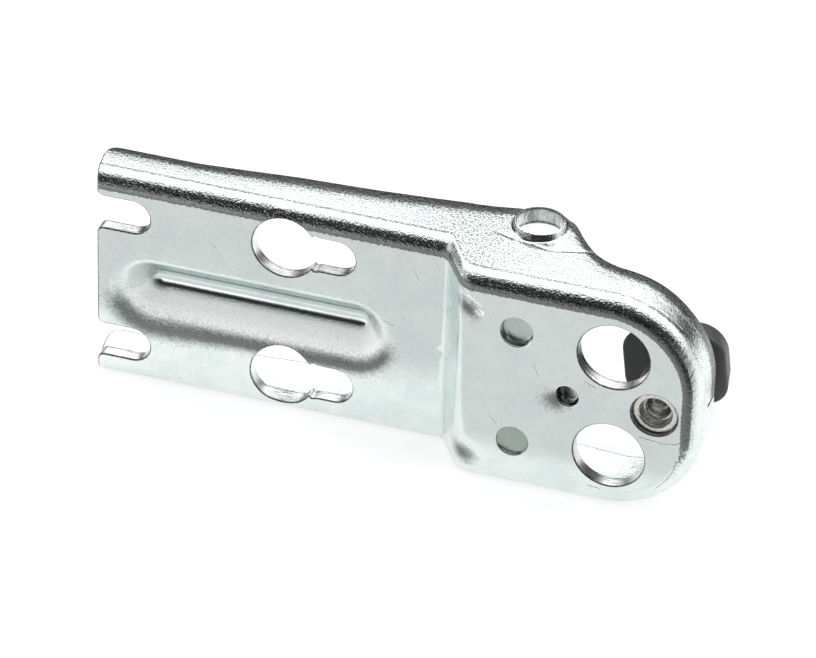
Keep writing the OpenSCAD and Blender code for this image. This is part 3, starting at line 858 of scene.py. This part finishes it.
nt.links.new(rough, bsdf.inputs["Roughness"])
amount = span(nt, worked_n, 0.0, 1.0, 0.10, 1.0)
h1 = calc(nt, "MULTIPLY", peel, calc(nt, "MULTIPLY", amount, 0.24))
h2 = calc(nt, "MULTIPLY", grain, calc(nt, "MULTIPLY", amount, 0.50))
h3 = calc(nt, "MULTIPLY", tiny, calc(nt, "ADD", calc(nt, "MULTIPLY", amount, 0.10), 0.05))
height = calc(nt, "ADD", calc(nt, "ADD", h1, h2), h3)
height = calc(nt, "SUBTRACT", height, calc(nt, "MULTIPLY", marks, 0.10))
height = calc(nt, "ADD", height, calc(nt, "MULTIPLY", calc(nt, "MULTIPLY", streak, cut_n), 0.22))
nt.links.new(bump(nt, height, 0.00027), bsdf.inputs["Normal"])
bracket.data.materials.append(zinc)
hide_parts("hinge_bracket")
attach(bracket, "bracket")

pin_mat, nt, bsdf = material("pin_steel")
P = place(nt)
flat = vcalc(nt, "MULTIPLY", P, (1, 0, 1))
radius = vcalc(nt, "LENGTH", flat)
swirl = vcalc(nt, "MULTIPLY", P, (700, 2600, 700))
ring_n = nt.nodes.new("ShaderNodeTexNoise")
ring_at = nt.nodes.new("ShaderNodeCombineXYZ")
nt.links.new(calc(nt, "MULTIPLY", radius, 5200.0), ring_at.inputs[0])
nt.links.new(noise(nt, P, 300, 2.0, 0.5), ring_at.inputs[1])
nt.links.new(ring_at.outputs[0], ring_n.inputs["Vector"])
ring_n.inputs["Scale"].default_value = 1.0
ring_n.inputs["Detail"].default_value = 2.0
lathe = ring_n.outputs["Fac"]
spots = noise(nt, P, 900, 3.0, 0.6)
col = blend(nt, span(nt, lathe, 0.35, 0.65), (0.82, 0.825, 0.80, 1), (0.50, 0.51, 0.50, 1))
col = blend(nt, span(nt, spots, 0.58, 0.72, 0.0, 0.6), col, (0.22, 0.225, 0.22, 1))
rim_on = calc(nt, "MULTIPLY", span(nt, radius, 0.0034, 0.0037), span(nt, radius, 0.00485, 0.0046))
front_on = span(nt, vcalc(nt, "DOT_PRODUCT", P, (0, 1, 0)), 0.0018, 0.0012)
rim_on = calc(nt, "MULTIPLY", rim_on, front_on)
col = blend(nt, calc(nt, "MULTIPLY", rim_on, 0.8), col, (0.78, 0.77, 0.72, 1))
nt.links.new(col, bsdf.inputs["Base Color"])
bsdf.inputs["Metallic"].default_value = 1.0
nt.links.new(span(nt, spots, 0.3, 0.7, 0.16, 0.34), bsdf.inputs["Roughness"])
hp = calc(nt, "ADD", calc(nt, "MULTIPLY", lathe, 0.25), calc(nt, "MULTIPLY", spots, 0.75))
nt.links.new(bump(nt, hp, 0.00022), bsdf.inputs["Normal"])

plastic, nt, bsdf = material("black_plastic")
P = place(nt)
flow = noise(nt, P, 120, 3.0, 0.55, 0.6)
dots = noise(nt, P, 3000, 2.0, 0.6)
col = blend(nt, span(nt, flow, 0.35, 0.65), (0.040, 0.040, 0.038, 1), (0.056, 0.056, 0.053, 1))
col = blend(nt, span(nt, dots, 0.6, 0.75, 0.0, 0.5), col, (0.085, 0.085, 0.082, 1))
nt.links.new(col, bsdf.inputs["Base Color"])
nt.links.new(span(nt, flow, 0.3, 0.7, 0.36, 0.50), bsdf.inputs["Roughness"])
nt.links.new(bump(nt, dots, 0.00006), bsdf.inputs["Normal"])


# ---------------------------------------------------------------- the pin, turned round Y
def turned(name, profile, n=96):
    """A solid turned round the Y axis from (radius, depth) points in mm; the ends lie on the axis."""
    prof = np.array(profile, float)
    a = np.arange(n) * 2 * math.pi / n
    co = [(0.0, prof[0, 1], 0.0)]
    for r, y in prof[1:-1]:
        co += [(r * math.cos(t), y, r * math.sin(t)) for t in a]
    co.append((0.0, prof[-1, 1], 0.0))
    m = len(prof) - 2
    fc = [(0, 1 + i, 1 + (i + 1) % n) for i in range(n)]
    for k in range(m - 1):
        b0, b1 = 1 + k * n, 1 + (k + 1) * n
        fc += [(b0 + i, b1 + i, b1 + (i + 1) % n, b0 + (i + 1) % n) for i in range(n)]
    last = len(co) - 1
    b0 = 1 + (m - 1) * n
    fc += [(b0 + i, last, b0 + (i + 1) % n) for i in range(n)]
    return new_mesh(name, co, fc)


def rounded(points, r, n=5):
    """The same profile with each inner corner rounded by about r."""
    p = np.array(points, float)
    out = [p[0]]
    for i in range(1, len(p) - 1):
        a, b, c = p[i - 1], p[i], p[i + 1]
        la, lc = np.linalg.norm(a - b), np.linalg.norm(c - b)
        k = min(r, la * 0.45, lc * 0.45)
        s, e = b + (a - b) / la * k, b + (c - b) / lc * k
        for t in np.linspace(0, 1, n):
            out.append((1 - t) ** 2 * s + 2 * t * (1 - t) * b + t * t * e)
    out.append(p[-1])
    return out


pin_profile = rounded([
    (0, 6.9), (0.55, 6.7), (0.9, 5.6), (1.35, 5.15), (1.75, 5.3), (2.25, 4.6), (2.45, 3.5), (2.75, 3.05), (3.05, 3.1), (3.3, 2.3),
    (3.36, 1.25), (3.62, 0.93), (4.1, 0.86), (4.5, 0.92), (4.66, 1.15), (4.66, 1.9), (4.87, 1.95), (4.87, 3.02), (6.08, 3.04),
    (6.08, 4.6), (4.74, 4.62), (4.74, 22.46), (6.38, 22.48), (6.38, 23.3), (5.9, 23.74), (0, 23.74)], 0.14, 4)
pin = turned("pin_turned", pin_profile)
pin.data.materials.append(pin_mat)
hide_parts("hinge_pin")
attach(pin, "bracket")


# ---------------------------------------------------------------- the block
def plate_radius(ang, w, h, c, dx=-0.4, dz=0.5):
    """Distance from the axis to a rounded rectangle's outline at each angle."""
    pts = []
    for sx, sz, a0 in ((1, 1, 0), (-1, 1, 90), (-1, -1, 180), (1, -1, 270)):
        pts.append(arc(sx * (w / 2 - c) + dx, sz * (h / 2 - c) + dz, c, a0, a0 + 90, 40))
    p = resample(np.vstack(pts), 0.03)
    t = np.arctan2(p[:, 1], p[:, 0])
    r = np.hypot(p[:, 0], p[:, 1])
    o = np.argsort(t)
    t, r = t[o], r[o]
    return np.interp(ang, np.concatenate([t - 2 * math.pi, t, t + 2 * math.pi]), np.tile(r, 3))


def build_block(n=180):
    w, h, c, y0, t = 21.7, 16.3, 4.9, 16.8, 5.5
    turn = math.radians(7.0)
    a = np.linspace(-math.pi, math.pi, n + 1)[:-1]
    rows = []

    def add(rad, y):
        x, z = rad * np.cos(a), rad * np.sin(a)
        rows.append(np.stack([x * math.cos(turn) - z * math.sin(turn), np.full(n, y), x * math.sin(turn) + z * math.cos(turn)], 1))

    one = np.ones(n)
    for k, inset in enumerate((0.62, 0.40, 0.22, 0.10, 0.03, 0.0)):
        ang = math.acos(1 - min(inset, 0.6) / 0.6) if k else math.pi / 2
        yy = y0 + 0.6 * (1 - math.sin(math.acos(max(-1, min(1, 1 - inset / 0.62)))))
        if k == 0:
            edge0 = plate_radius(a, w - 2 * inset, h - 2 * inset, c - inset)
            for f in (0.15, 0.4, 0.7):
                rows_at = 6.35 * (1 - f) + edge0 * f
                add(rows_at, y0)
            yy = y0
        add(plate_radius(a, w - 2 * inset, h - 2 * inset, c - inset), yy)
    for f in (0.25, 0.5, 0.75, 1.0):
        add(plate_radius(a, w - 1.2 * f, h + 0.3 * f, c + 1.3 * f), y0 + 0.6 + (t - 1.2) * f)
    for inset in (0.05, 0.18, 0.38, 0.6):
        yy = y0 + t - 0.6 + 0.6 * math.sqrt(max(0.0, 1 - (1 - inset / 0.6) ** 2))
        add(plate_radius(a, w - 1.2 - 2 * inset, h + 0.3 - 2 * inset, c + 1.3 - inset), yy)
    edge1 = plate_radius(a, w - 2.4, h - 0.9, c + 0.7)
    for f in (0.7, 0.35):
        add(5.1 * (1 - f) + edge1 * f, y0 + t)
    for r, y in ((5.1, y0 + t), (4.9, y0 + t - 0.1), (4.82, y0 + t - 0.3), (4.82, 12.0), (4.82, 5.0), (4.9, 4.82), (5.1, 4.76),
                 (5.8, 4.76), (5.95, 4.85), (6.0, 5.0), (6.0, 11.0), (6.0, y0 - 0.35), (6.1, y0 - 0.1), (6.35, y0)):
        add(one * r, y)
    co = np.vstack(rows)
    m = len(rows)
    fc = []
    for k in range(m):
        b0, b1 = k * n, ((k + 1) % m) * n
        fc += [(b0 + i, b0 + (i + 1) % n, b1 + (i + 1) % n, b1 + i) for i in range(n)]
    return new_mesh("block_moulded", co, fc)


block = build_block()
block.data.materials.append(plastic)
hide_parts("pivot_block")
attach(block, "block")

for ob in (pin, block):
    bm = bmesh.new()
    bm.from_mesh(ob.data)
    bmesh.ops.recalc_face_normals(bm, faces=bm.faces)
    bm.to_mesh(ob.data)
    bm.free()

# ---------------------------------------------------------------- stage
floor_z = float(cad_lo.z)
bpy.ops.mesh.primitive_plane_add(size=8, location=(0, 0, floor_z - 0.0002))
floor = bpy.context.object
floor.name = "floor"
fm, nt, bsdf = material("floor_paper")
fibre = noise(nt, place(nt), 400, 3.0, 0.6)
nt.links.new(blend(nt, fibre, (0.60, 0.60, 0.60, 1), (0.64, 0.64, 0.64, 1)), bsdf.inputs["Base Color"])
bsdf.inputs["Roughness"].default_value = 0.9
bsdf.inputs["Specular IOR Level"].default_value = 0.0
bsdf.inputs["Emission Color"].default_value = (1.0, 1.0, 1.0, 1)
bsdf.inputs["Emission Strength"].default_value = 0.52
floor.data.materials.append(fm)


def card(name, corners, grey):
    """A board that only the metal sees, as a photographer's flag or softbox does."""
    me = bpy.data.meshes.new(name)
    me.from_pydata([tuple(c) for c in corners], [], [(0, 1, 2, 3)])
    o = bpy.data.objects.new(name, me)
    bpy.context.scene.collection.objects.link(o)
    m, nt, bsdf = material(name)
    nt.nodes.remove(bsdf)
    e = nt.nodes.new("ShaderNodeEmission")
    e.inputs["Color"].default_value = (1, 1, 1, 1)
    e.inputs["Strength"].default_value = grey
    nt.links.new(e.outputs[0], nt.nodes["Material Output"].inputs[0])
    me.materials.append(m)
    o.visible_camera = False
    o.visible_diffuse = False
    o.visible_shadow = False
    o.visible_transmission = False
    return o


# dark flags in front, to the sides and behind; a bright board overhead; grey and
# white boards lying on the floor in front
card("flag_front_arm", [(-0.75, -0.36, 0.060), (-0.145, -0.36, 0.060), (-0.145, -0.085, 0.47), (-0.75, -0.085, 0.47)], 0.03)
card("flag_front_head", [(-0.145, -0.34, -0.024), (1.20, -0.34, -0.024), (1.20, -0.085, 0.47), (-0.145, -0.085, 0.47)], 0.03)
card("flag_right", [(0.62, -0.34, -0.024), (0.62, -0.05, 0.030), (0.45, -0.05, 0.47), (0.45, -0.34, 0.47)], 0.04)
card("flag_left", [(-0.75, 0.07, -0.023), (-0.75, 0.80, -0.023), (-0.75, 0.80, 0.46), (-0.75, 0.07, 0.46)], 0.05)
card("flag_left_floor", [(-0.75, 0.05, -0.0246), (-0.19, 0.05, -0.0246), (-0.19, 0.45, -0.0246), (-0.75, 0.60, -0.0246)], 0.05)
card("flag_back", [(-0.75, 0.30, -0.023), (1.2, 0.30, -0.023), (1.2, 0.90, 0.50), (-0.75, 0.90, 0.50)], 0.05)
card("flag_low", [(0.012, -0.048, -0.0246), (0.050, -0.030, -0.0246), (0.062, -0.040, 0.006), (0.016, -0.062, 0.006)], 0.06)
card("floor_near", [(-1.2, -0.125, -0.0248), (1.2, -0.125, -0.0248), (1.2, -0.012, -0.0248), (-1.2, -0.012, -0.0248)], 0.78)
card("floor_right", [(-0.105, -0.34, -0.0248), (1.2, -0.34, -0.0248), (1.2, -0.125, -0.0248), (-0.105, -0.125, -0.0248)], 0.78)
card("floor_left", [(-1.2, -0.36, -0.0248), (-0.105, -0.36, -0.0248), (-0.105, -0.125, -0.0248), (-1.2, -0.125, -0.0248)], 2.2)
card("soft_top", [(-2.6, -0.36, 1.16), (2.6, -0.36, 1.16), (2.6, 2.3, 1.16), (-2.6, 2.3, 1.16)], 1.9)

world = bpy.data.worlds.new("world")
bpy.context.scene.world = world
world.use_nodes = True
world.node_tree.nodes["Background"].inputs["Color"].default_value = (1.0, 1.0, 1.0, 1)
world.node_tree.nodes["Background"].inputs["Strength"].default_value = 1.12
bpy.context.scene.view_settings.view_transform = "Standard"
bpy.context.scene.view_settings.look = "None"
